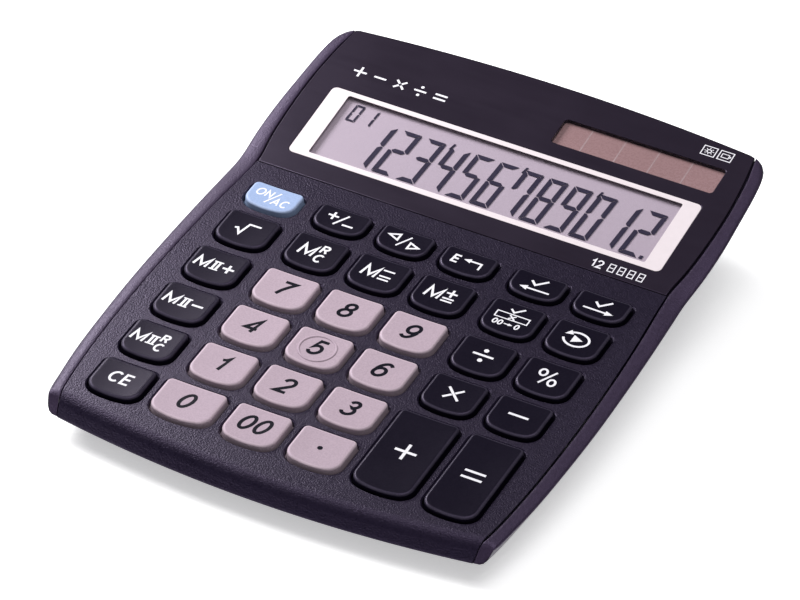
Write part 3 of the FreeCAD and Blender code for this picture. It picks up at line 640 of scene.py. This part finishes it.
crystal = Finish("lcd_segment", Specular_IOR_Level=0.15)
density = crystal.place.noise(700, 3)
crystal.feed(Base_Color=density.tint(shade((0.022, 0.018, 0.040)),
                                     shade((0.036, 0.030, 0.058))),
             Roughness=0.3 + density * 0.15)
lit = place_digits("123456789012", DIGIT_LEFT, DIGIT_FOOT, DIGIT_PITCH,
                   segment_shapes(DIGIT_WIDE, DIGIT_TALL, DIGIT_WAIST, BAR, NICK))
lit += place_digits("01", COUNTER_LEFT, COUNTER_FOOT, COUNTER_PITCH,
                    segment_shapes(2.5, 5.8, 2.9, 0.55, 0.07))
for x in THOUSANDS:
    lit.append([(x + 0.5, TICK_TOP), (x + 1.1, TICK_TOP), (x + 0.55, TICK_FOOT),
                (x, TICK_FOOT)])
lit.append([(41.9, 9.4), (42.8, 9.4), (42.9, 10.5), (42.0, 10.5)])
segments = flat_pieces("lit_segments", lit, LCD_TOP + 0.15, slope(DISPLAY_TILT),
                       crystal.material)
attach(segments, "case")

# ------------------------------------------------------------------ solar cell
# A strip of brown amorphous silicon on glass, in five cells parted by thin paler lines,
# with a little unevenness in the film.
silicon = Finish("amorphous_silicon", IOR=1.5)
film_drift, film_grain = silicon.place.noise(60, 3), silicon.place.noise(1600, 3)
silicon.feed(Base_Color=(film_drift * 0.7 + film_grain * 0.3).tint(
                 shade((0.26, 0.155, 0.158)), shade((0.38, 0.235, 0.242))),
             Roughness=0.2 + film_grain * 0.15, Normal=silicon.relief(film_grain, 0.000004))
coat_node(silicon.material, "solar_cell")
scribed = Finish("scribed_line", Roughness=0.4)
scribed.feed(Base_Color=scribed.place.noise(900, 2).tint(shade((0.30, 0.21, 0.22)),
                                                         shade((0.48, 0.36, 0.37))))
DIVIDERS, HALF_LINE = (14.0, 22.8, 31.6, 40.3), 0.16
near, far = SOLAR_VIEW[2] - 0.7, SOLAR_VIEW[3] + 0.7
lines = flat_pieces("cell_dividers", [[(x - HALF_LINE, near), (x + HALF_LINE, near),
                                       (x + HALF_LINE, far), (x - HALF_LINE, far)]
                                      for x in DIVIDERS],
                    -PANEL_THICK + 0.02, slope(DISPLAY_TILT), scribed.material)
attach(lines, "case")

# ------------------------------------------------------------------ keys
# Hollow caps moulded in pale pink-grey, near-black and pale blue plastic. Each has a
# slightly dished top with well rounded edges, tapered sides, and a lip under the deck.
KEY_HEIGHT, KEY_SKIRT, KEY_LIP = 1.15, 0.25, 1.0
LIP_LOW, LIP_HIGH = -2.7, -1.9
TOP_CORNER, LOW_CORNER, LOW_BOW = 1.3, 3.4, 20.0
EDGE_RADIUS, EDGE_STEPS, DISH = 0.72, 8, 0.22
RIM_GROW, SIDE_TAPER, SIDE_START = 0.04, 0.2, 0.1
DISH_RINGS = (0.94, 0.8, 0.6, 0.35, 0.12)


def key_ring(width, length, grow):
    """Points round a key: straight at the back, two tight corners there, two wide ones at
    the front, and a bowed front edge. Every ring has the same number of points."""
    a, top, low = width / 2 + grow, length / 2 + grow, -length / 2 - grow
    rt, rb, bow = max(TOP_CORNER + grow, 0.25), LOW_CORNER + grow, LOW_BOW + grow
    cy = low + bow - math.sqrt((bow - rb)**2 - (a - rb)**2)
    sweep = math.atan2(a - rb, bow + low - cy)
    half = [(0, top), ((a - rt) * 0.5, top)]
    half += [(a - rt + rt * math.sin(t), top - rt + rt * math.cos(t))
             for t in (math.radians(15 * k) for k in range(7))]
    half += [(a, (top - rt) * (1 - k / 6) + cy * k / 6) for k in range(1, 6)]
    bend = math.pi / 2 - sweep
    half += [(a - rb + rb * math.cos(t), cy - rb * math.sin(t))
             for t in (bend * k / 8 for k in range(9))]
    half += [(bow * math.sin(sweep * k / 5), low + bow - bow * math.cos(sweep * k / 5))
             for k in (4, 3, 2, 1, 0)]
    return half + [(-x, y) for x, y in half[-2:0:-1]]


def dish_height(x, width):
    return -DISH * (1 - (x / (width / 2 + 0.5))**2)


def key_cap(name, x, y, width, length, material):
    rings = [(KEY_LIP, LIP_LOW, 0, 0), (KEY_LIP, LIP_HIGH, 0, 0), (KEY_SKIRT, LIP_HIGH, 0, 0)]
    foot = LIP_HIGH + SIDE_START
    rings += [(KEY_SKIRT - SIDE_TAPER * t, foot + (KEY_HEIGHT - EDGE_RADIUS - foot) * t, 0, 0)
              for t in (0.0, 0.5, 0.9)]
    for k in range(EDGE_STEPS + 1):
        t = math.radians(90 * k / EDGE_STEPS)
        rings.append((RIM_GROW - EDGE_RADIUS * (1 - math.cos(t)),
                      KEY_HEIGHT - EDGE_RADIUS * (1 - math.sin(t)), math.sin(t),
                      math.sin(2 * t)))
    points, wear_and_highlight = [], []
    for grow, height, dished, edge in rings:
        for px, py in key_ring(width, length, grow):
            points.append((px, py, height + dished * dish_height(px, width)))
            wear_and_highlight.append(edge)
    inner = key_ring(width, length, RIM_GROW - EDGE_RADIUS)
    for shrink in DISH_RINGS:
        for px, py in inner:
            points.append((px * shrink, py * shrink,
                           KEY_HEIGHT + dish_height(px * shrink, width)))
            wear_and_highlight.append(0)
    count, total = len(inner), len(rings) + len(DISH_RINGS)
    faces = [(r * count + k, r * count + (k + 1) % count,
              (r + 1) * count + (k + 1) % count, (r + 1) * count + k)
             for r in range(total - 1) for k in range(count)]
    faces = [face[::-1] for face in faces]
    faces += [tuple(range(count)), tuple(range((total - 1) * count, total * count))[::-1]]
    place = slope(DECK_TILT) @ Matrix.Translation((x * MM, y * MM, 0)) @ Matrix.Scale(MM, 4)
    cap = piece(name, [place @ Vector(p) for p in points], faces, material, 40)
    # weight of the rounded rim at each point, where the wear and the painted highlight go
    edge = cap.data.attributes.new("edge", "FLOAT", "POINT")
    edge.data.foreach_set("value", wear_and_highlight)
    return cap


KEY_GRAIN = 2600


def key_plastic(name, colour, roughness, worn_and_highlight_colour, wear_and_highlight):
    """Key plastic: fine grain, slow drift of tone, and rounded edges rubbed smoother. The edges
    are also lighter, partly from wear and partly as a painted highlight.
    """
    plastic = Finish(name, IOR=1.5, Specular_IOR_Level=0.17, Specular_Tint=VIOLET_SHEEN)
    edge = plastic.place.node("Attribute", {"attribute_name": "edge"}, {}, out=2)
    cloud, fine = plastic.place.noise(90, 3), plastic.place.noise(KEY_GRAIN, 2)
    # rounded rims turn lighter: partly real wear, partly a painted highlight
    rubbed = edge * (0.4 + plastic.place.noise(240, 3) * 0.9) * wear_and_highlight
    tone = cloud.tint(shade(colour, 0.93), shade(colour, 1.06))
    tone = fine.between(0.3, 0.7).tint(shade(colour, 0.88), tone)
    return plastic.feed(Base_Color=rubbed.tint(tone, shade(worn_and_highlight_colour)),
                        Roughness=roughness + (fine - 0.5) * 0.2 + (cloud - 0.5) * 0.1
                        - rubbed * 0.15,
                        Normal=plastic.relief(fine, 0.000014))


# the second colour of each key plastic is its rim colour, worn plastic and painted highlight in
# one
light_plastic = key_plastic("light_key_plastic", (0.465, 0.362, 0.425), 0.42,
                            (0.66, 0.53, 0.60), 0.8)
dark_plastic = key_plastic("dark_key_plastic", (0.0036, 0.0026, 0.0082), 0.36,
                           (0.075, 0.064, 0.098), 0.7)
blue_plastic = key_plastic("blue_key_plastic", (0.33, 0.43, 0.66), 0.42,
                           (0.50, 0.58, 0.78), 0.5)

COLUMNS = [-43.25, -25.15, -8.55, 7.95, 26.05, 42.45]
ROWS = [-11.6, -24.8, -39.85, -54.75, -69.75, -84.75]
LIGHT, DARK, SHORT, LONG = (13.4, 11.9), (13.0, 11.7), (13.0, 8.4), (13.0, 11.4)
KEY_NAMES = [
    ["on_clear", "sign", "previous_now", "error_recall", "check_back", "check_forward"],
    ["root", "memory_recall", "memory_minus", "memory_plus", "correct", "auto_replay"],
    ["memory2_plus", "7", "8", "9", "divide", "percent"],
    ["memory2_minus", "4", "5", "6", "multiply", "minus"],
    ["memory2_recall", "1", "2", "3"],
    ["clear_entry", "0", "double_zero", "point"],
]
NUMBER_KEYS = list("0123456789") + ["double_zero", "point"]
TALL_KEY_Y, TALL_KEY_LENGTH = -77.5, 27.2
keys = {}
for r, names in enumerate(KEY_NAMES):
    for c, name in enumerate(names):
        size = SHORT if r == 0 else LONG if r == 1 else DARK if c in (0, 4, 5) else LIGHT
        keys[name] = (COLUMNS[c], ROWS[r]) + size
keys["0"] = (-26.05, ROWS[5], 15.2, LIGHT[1])
keys["plus"] = (25.45, TALL_KEY_Y, 14.7, TALL_KEY_LENGTH)
keys["equals"] = (COLUMNS[5], TALL_KEY_Y, DARK[0], TALL_KEY_LENGTH)
for name, (x, y, width, length) in keys.items():
    material, slot = ((light_plastic, "light_key_plastic") if name in NUMBER_KEYS
                      else (blue_plastic, "blue_key_plastic") if name == "on_clear"
                      else (dark_plastic, "dark_key_plastic"))
    cap = key_cap("cap_" + name, x, y, width, length, material)
    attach(cap, "key_" + name)
    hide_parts("key_" + name)

# ------------------------------------------------------------------ home ring
# A fine raised ring on the 5 key, so that a finger can find it without looking. It is
# moulded in one with the cap, and has the cap's finish.
RING_RADIUS, RING_THICK = 4.35, 0.32
hx, hy, home_width = keys["5"][:3]
points, faces = [], []
AROUND, SECTION = 96, 10
for k in range(AROUND):
    turn = 2 * math.pi * k / AROUND
    for j in range(SECTION):
        tip = 2 * math.pi * j / SECTION
        radius = RING_RADIUS + RING_THICK * math.cos(tip)
        px, py = radius * math.cos(turn), radius * math.sin(turn)
        points.append(slope(DECK_TILT) @ (Vector((
            hx + px, hy + py,
            KEY_HEIGHT + dish_height(px, home_width) + RING_THICK * 0.6 * math.sin(tip))) * MM))
        k1, j1 = (k + 1) % AROUND, (j + 1) % SECTION
        faces.append((k * SECTION + j, k1 * SECTION + j, k1 * SECTION + j1, k * SECTION + j1))
ring = piece("home_ring", points, faces, light_plastic, 80)
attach(ring, "key_5")


# ------------------------------------------------------------------ signs on the keys
# Printed on the caps in one opaque ink: dark blue-black slanted numbers on the pale keys
# and white signs on the others. It lies about a hundredth of a millimetre proud.
def bow(cx, cy, rx, ry, start, stop, steps=14):
    """Points along an arc, for the round parts of numbers and letters."""
    line = [(cx + rx * math.cos(math.radians(start + (stop - start) * k / steps)),
             cy + ry * math.sin(math.radians(start + (stop - start) * k / steps)))
            for k in range(steps + 1)]
    return line[:-1] + line[:1] if stop - start == 360 else line


# each letter: its width, then the middle lines of its strokes, for a height of 1
LETTER_GAP = 0.24
LETTERS = {
    "0": (0.46, [bow(0.23, 0.5, 0.23, 0.5, 0, 360, 32)]),
    "1": (0.30, [[(0.0, 0.76), (0.14, 0.82), (0.24, 1.0), (0.24, 0.0)]]),
    "2": (0.48, [bow(0.23, 0.72, 0.23, 0.28, 170, -40) + [(0.0, 0.0), (0.48, 0.0)]]),
    "3": (0.48, [bow(0.23, 0.76, 0.20, 0.24, 160, -80, 12)
                 + bow(0.23, 0.27, 0.25, 0.27, 85, -165)]),
    "4": (0.50, [[(0.38, 0.0), (0.38, 1.0), (0.0, 0.28), (0.52, 0.28)]]),
    "5": (0.48, [[(0.45, 1.0), (0.11, 1.0), (0.04, 0.50)]
                 + bow(0.23, 0.32, 0.25, 0.32, 125, -160)]),
    "6": (0.48, [bow(0.24, 0.31, 0.24, 0.31, 0, 360, 28),
                 bow(0.30, 0.42, 0.30, 0.58, 175, 48, 12)]),
    "7": (0.48, [[(0.0, 1.0), (0.50, 1.0), (0.34, 0.68), (0.22, 0.36), (0.15, 0.0)]]),
    "8": (0.48, [bow(0.24, 0.77, 0.19, 0.23, 0, 360, 26),
                 bow(0.24, 0.27, 0.24, 0.27, 0, 360, 28)]),
    "9": (0.48, [bow(0.24, 0.69, 0.24, 0.31, 0, 360, 28),
                 bow(0.18, 0.58, 0.30, 0.58, -5, -132, 12)]),
    "A": (0.62, [[(0.0, 0.0), (0.31, 1.0), (0.62, 0.0)], [(0.12, 0.33), (0.50, 0.33)]]),
    "C": (0.60, [bow(0.32, 0.5, 0.32, 0.5, 48, 312, 22)]),
    "E": (0.46, [[(0.46, 1.0), (0.0, 1.0), (0.0, 0.0), (0.48, 0.0)],
                 [(0.06, 0.52), (0.42, 0.52)]]),
    "N": (0.52, [[(0.0, 0.0), (0.0, 1.0), (0.52, 0.0), (0.52, 1.0)]]),
    "O": (0.66, [bow(0.33, 0.5, 0.33, 0.5, 0, 360, 32)]),
    "R": (0.50, [[(0.0, 0.0), (0.0, 1.0), (0.28, 1.0)] + bow(0.28, 0.75, 0.21, 0.25, 80, -90, 10)
                 + [(0.06, 0.5)], [(0.28, 0.45), (0.48, 0.0)]]),
}


class Sign:
    """Flat shapes for one key's sign, in millimetres from the key's centre."""

    def __init__(self):
        self.points, self.faces = [], []

    def add(self, points, faces):
        start = len(self.points)
        self.points += points
        self.faces += [tuple(start + k for k in face) for face in faces]
        return self

    def word(self, text, height, x=0.0, y=0.0, slant=0.0, width=0.6):
        """Numbers or letters of this height, drawn as strokes and centred on x, y."""
        spread = sum(LETTERS[letter][0] for letter in text) + LETTER_GAP * (len(text) - 1)
        pen = -spread / 2
        for letter in text:
            wide, strokes = LETTERS[letter]
            for line in strokes:
                closed = line[0] == line[-1]
                inked = [(x + (pen + px + slant * (py - 0.5)) * height,
                          y + (py - 0.5) * (height - width))
                         for px, py in (line[:-1] if closed else line)]
                self.stroke(inked, width, closed)
            pen += wide + LETTER_GAP
        return self

    def stroke(self, line, width=0.6, closed=False):
        """A ribbon of this width along a line of points, mitred at its corners."""
        count = len(line)
        left, right = [], []
        for k in range(count):
            here = Vector(line[k])
            before = Vector(line[k - 1]) if k or closed else None
            after = Vector(line[(k + 1) % count]) if k < count - 1 or closed else None
            inward = (here - before).normalized() if before is not None else None
            onward = (after - here).normalized() if after is not None else None
            along = ((inward or onward) + (onward or inward)).normalized()
            across = Vector((-along.y, along.x))
            spread = width / 2 / max(0.35, along.dot(onward or inward))
            left.append(tuple(here + across * spread))
            right.append(tuple(here - across * spread))
        runs = count if closed else count - 1
        faces = [(count + k, count + (k + 1) % count, (k + 1) % count, k) for k in range(runs)]
        return self.add(left + right, faces)

    def dot(self, x, y, radius):
        ring = bow(x, y, radius, radius, 0, 360, 24)[:-1]
        return self.add(ring, [tuple(range(len(ring)))])

    def ring(self, x, y, rx, ry, width):
        return self.stroke(bow(x, y, rx, ry, 0, 360, 28)[:-1], width, True)

    def arrow(self, x0, y0, x1, y1, width=0.45, head=1.7):
        """A straight arrow from one point to the other."""
        tail, tip = Vector((x0, y0)), Vector((x1, y1))
        along = (tip - tail).normalized()
        across = Vector((-along.y, along.x))
        neck = tip - along * head
        self.stroke([tuple(tail), tuple(neck)], width)
        return self.add([tuple(tip), tuple(neck + across * head * 0.42),
                         tuple(neck - across * head * 0.42)], [(0, 1, 2)])

    def memory(self, x, y, height, wide, width=0.62):
        """A slanted capital M."""
        high, tilt = height / 2, 0.2
        return self.stroke([(x - wide / 2 - tilt * high, y - high),
                            (x - wide / 2 + tilt * high, y + high - width * 0.1),
                            (x + width * 0.1, y - high * 0.75),
                            (x + wide / 2 + tilt * high, y + high - width * 0.1),
                            (x + wide / 2 - tilt * high, y - high)], width)

    def plus(self, x, y, reach, width=0.6):
        self.stroke([(x - reach, y), (x + reach, y)], width)
        self.stroke([(x, y + width / 2), (x, y + reach)], width)
        return self.stroke([(x, y - reach), (x, y - width / 2)], width)

    def minus(self, x, y, reach, width=0.6):
        return self.stroke([(x - reach, y), (x + reach, y)], width)


PRINT_LIFT = 0.014


def ink_finish(name, colour):
    dye = Finish(name, IOR=1.45, Specular_IOR_Level=0.1)
    patch, dots = dye.place.noise(600, 3), dye.place.noise(3000, 2)
    return dye.feed(Base_Color=patch.tint(shade(colour, 0.9), shade(colour, 1.06)),
                    Roughness=0.4 + (dots - 0.5) * 0.2, Normal=dye.relief(dots, 0.000004))


white_ink = ink_finish("white_ink", (0.86, 0.84, 0.90))
dark_ink = ink_finish("dark_ink", (0.004, 0.004, 0.010))
SLANT, NUMBER_TALL, NUMBER_STROKE = 0.22, 5.6, 0.92
SMALL_SLANT, SMALL_STROKE = 0.12, 0.55
signs = {}
for name in NUMBER_KEYS[:-1]:
    number = "00" if name == "double_zero" else name
    signs[name] = Sign().word(number, NUMBER_TALL, -0.1, 0.35, SLANT, NUMBER_STROKE)
signs["point"] = Sign().dot(-0.1, 0.2, 0.66)
signs["clear_entry"] = Sign().word("CE", 3.9, 0, 0.3, 0.12, 0.62)


def two_bars(sign, x, y, height):
    """The pair of serifed bars that marks the second memory."""
    half = height / 2 - 0.2
    for offset in (-0.5, 0.5):
        sign.stroke([(x + offset - 0.1, y - half), (x + offset + 0.1, y + half)], 0.6)
    for level in (-half, half):
        sign.minus(x + 0.1 * level, y + level, 1.15, 0.4)
    return sign


def recall(sign, height, x, top):
    """The R over C that marks a memory's recall key."""
    sign.word("R", height, x, top, SMALL_SLANT, SMALL_STROKE)
    return sign.word("C", height, x - 0.1, -1.5, SMALL_SLANT, SMALL_STROKE)


for name, mark in (("memory2_plus", Sign.plus), ("memory2_minus", Sign.minus)):
    signs[name] = two_bars(Sign().memory(-3.35, 0.3, 3.3, 2.9), 0.1, 0.3, 3.3)
    mark(signs[name], 3.3, 0.3, 1.45, 0.62)
signs["memory2_recall"] = two_bars(Sign().memory(-3.5, 0.3, 3.3, 2.9), -0.1, 0.3, 3.3)
recall(signs["memory2_recall"], 2.9, 2.5, 1.8)
signs["memory_recall"] = recall(Sign().memory(-1.8, 0.3, 3.7, 3.2), 3.0, 1.9, 1.9)
signs["memory_minus"] = Sign().memory(-1.9, 0.3, 3.7, 3.2).minus(2.1, 1.9, 1.45, 0.5)
signs["memory_minus"].minus(2.0, -0.3, 1.45, 0.5).minus(1.9, -1.4, 1.45, 0.5)
signs["memory_plus"] = Sign().memory(-1.9, 0.3, 3.7, 3.2).plus(2.1, 1.5, 1.35, 0.55)
signs["memory_plus"].minus(2.0, -0.5, 1.45, 0.5).minus(1.9, -1.5, 1.45, 0.5)
signs["root"] = Sign().stroke([(-2.8, -0.3), (-2.1, 0.0), (-1.0, -1.9), (0.0, 2.1),
                               (3.0, 2.1)], 0.55)
signs["divide"] = Sign().minus(0, 0.5, 2.6, 0.65).dot(0, 2.3, 0.6).dot(0, -1.3, 0.6)
signs["percent"] = (Sign().ring(-1.6, 1.7, 0.85, 1.1, 0.55).ring(1.6, -0.9, 0.85, 1.1, 0.55)
                    .stroke([(-1.3, -2.1), (1.4, 2.9)], 0.5))
signs["multiply"] = (Sign().stroke([(-1.9, 2.3), (1.9, -1.5)], 0.62)
                     .stroke([(1.9, 2.3), (0.3, 0.7)], 0.62)
                     .stroke([(-0.3, 0.1), (-1.9, -1.5)], 0.62))
signs["minus"] = Sign().minus(0, 0.4, 2.5, 0.65)
signs["plus"] = Sign().plus(0, 0.6, 2.7, 0.75)
signs["equals"] = Sign().minus(0, 1.6, 2.6, 0.68).minus(0, -0.6, 2.6, 0.68)
signs["sign"] = (Sign().plus(-2.3, 0.9, 1.35, 0.55).minus(2.3, -1.2, 1.4, 0.55)
                 .stroke([(-1.2, -1.9), (1.2, 2.3)], 0.5))
signs["on_clear"] = (Sign().word("ON", 2.7, -2.5, 1.0, 0.15, 0.42)
                     .word("AC", 2.7, 2.5, -1.0, 0.15, 0.42)
                     .stroke([(-1.2, -2.3), (1.3, 2.3)], 0.38))
signs["previous_now"] = (Sign().stroke([(-1.7, 2.1), (-4.2, 1.0), (-1.7, -0.1)], 0.5, True)
                         .stroke([(1.7, 0.3), (4.2, -0.8), (1.7, -1.9)], 0.5, True)
                         .stroke([(-1.2, -2.0), (1.2, 2.2)], 0.42))
signs["error_recall"] = (Sign().word("E", 3.0, -2.9, 0.3, 0.1, 0.55)
                         .stroke([(3.4, -1.3), (3.4, 0.9), (0.6, 0.9)], 0.5)
                         .add([(-1.2, 0.9), (0.6, 1.65), (0.6, 0.15)], [(0, 2, 1)]))
for name, turn in (("check_back", -1), ("check_forward", 1)):
    signs[name] = (Sign().stroke([(-1.8, 1.4), (-0.5, 0.1), (2.0, 2.5)], 0.58)
                   .arrow(-3.8 * turn, -1.5, 3.8 * turn, -1.5, 0.5, 2.0))
signs["correct"] = (Sign().stroke([(-1.5, 3.2), (-0.4, 2.2), (1.7, 4.2)], 0.5)
                    .stroke([(-4.1, 1.4), (4.1, 1.4), (4.1, -0.6), (-4.1, -0.6)], 0.32, True)
                    .stroke([(-0.8, 1.1), (0.8, -0.3)], 0.36)
                    .stroke([(0.8, 1.1), (0.12, 0.5)], 0.36)
                    .stroke([(-0.12, 0.3), (-0.8, -0.3)], 0.36)
                    .word("00", 1.9, -2.5, -2.2, 0.1, 0.36)
                    .arrow(-0.9, -2.2, 1.3, -2.2, 0.32, 1.1)
                    .word("0", 1.9, 2.4, -2.2, 0.1, 0.36))
signs["auto_replay"] = Sign().stroke(bow(0, 0.3, 3.1, 2.4, 128, -170, 26), 0.58)
signs["auto_replay"].arrow(-1.2, 2.7, -3.3, 1.2, 0.3, 1.9)
signs["auto_replay"].add([(-1.0, 1.6), (-1.0, -1.0), (1.6, 0.3)], [(0, 1, 2)])

for name, sign in signs.items():
    x, y, width, length = keys[name]
    place = slope(DECK_TILT) @ Matrix.Translation((x * MM, y * MM, 0)) @ Matrix.Scale(MM, 4)
    printed = piece("sign_" + name,
                    [place @ Vector((px, py, KEY_HEIGHT + dish_height(px, width) + PRINT_LIFT))
                     for px, py in sign.points],
                    sign.faces, dark_ink if name in NUMBER_KEYS else white_ink)
    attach(printed, "key_" + name)
    "dark_key_plastic" if name in NUMBER_KEYS else "white_print"

# ------------------------------------------------------------------ panel marks
# White signs printed on the panel: a sun and a cell in two outlined squares above the
# solar cell, a row of sums signs in the far left corner, and the number of places in the
# display by the fold.
marks = Sign()
SUN_X, SUN_Y, SUN_RAYS, SUMS_Y = 42.5, 47.5, 8, 37.4
for left in (40.8, 45.1):
    marks.stroke([(left, 46.0), (left + 3.4, 46.0), (left + 3.4, 49.0), (left, 49.0)],
                 0.25, True)
marks.ring(SUN_X, SUN_Y, 0.55, 0.5, 0.25)
for k in range(SUN_RAYS):
    turn = 2 * math.pi * k / SUN_RAYS
    marks.stroke([(SUN_X + 0.85 * math.cos(turn), SUN_Y + 0.75 * math.sin(turn)),
                  (SUN_X + 1.25 * math.cos(turn), SUN_Y + 1.1 * math.sin(turn))], 0.2)
marks.stroke([(45.8, 46.9), (47.6, 46.9), (47.6, 48.1), (45.8, 48.1)], 0.22, True)
marks.stroke([(47.8, 47.5), (48.1, 47.5)], 0.6)
marks.plus(-45.4, SUMS_Y, 1.7, 0.55).minus(-40.0, SUMS_Y, 1.6, 0.55)
for turn in (-1, 1):
    for reach in (-1.3, 1.3):
        marks.stroke([(-34.6 + 0.2 * reach, SUMS_Y + 0.2 * reach * turn),
                      (-34.6 + reach, SUMS_Y + reach * turn)], 0.55)
marks.minus(-29.2, SUMS_Y, 1.6, 0.55).dot(-29.2, 38.8, 0.42).dot(-29.2, 36.0, 0.42)
marks.minus(-23.8, 38.1, 1.6, 0.55).minus(-23.8, 36.7, 1.6, 0.55)
marks.word("12", 2.7, 34.6, 2.9, 0, 0.4)
for left in (37.6, 40.1, 42.6, 45.1):
    marks.stroke([(left, 1.7), (left + 1.4, 1.7), (left + 1.4, 4.1), (left, 4.1)], 0.26, True)
    marks.minus(left + 0.7, 2.9, 0.45, 0.26)
panel_marks = piece("panel_marks",
                    [slope(DISPLAY_TILT) @ Vector((x * MM, y * MM, PRINT_LIFT * MM))
                     for x, y in marks.points], marks.faces, white_ink)
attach(panel_marks, "case")
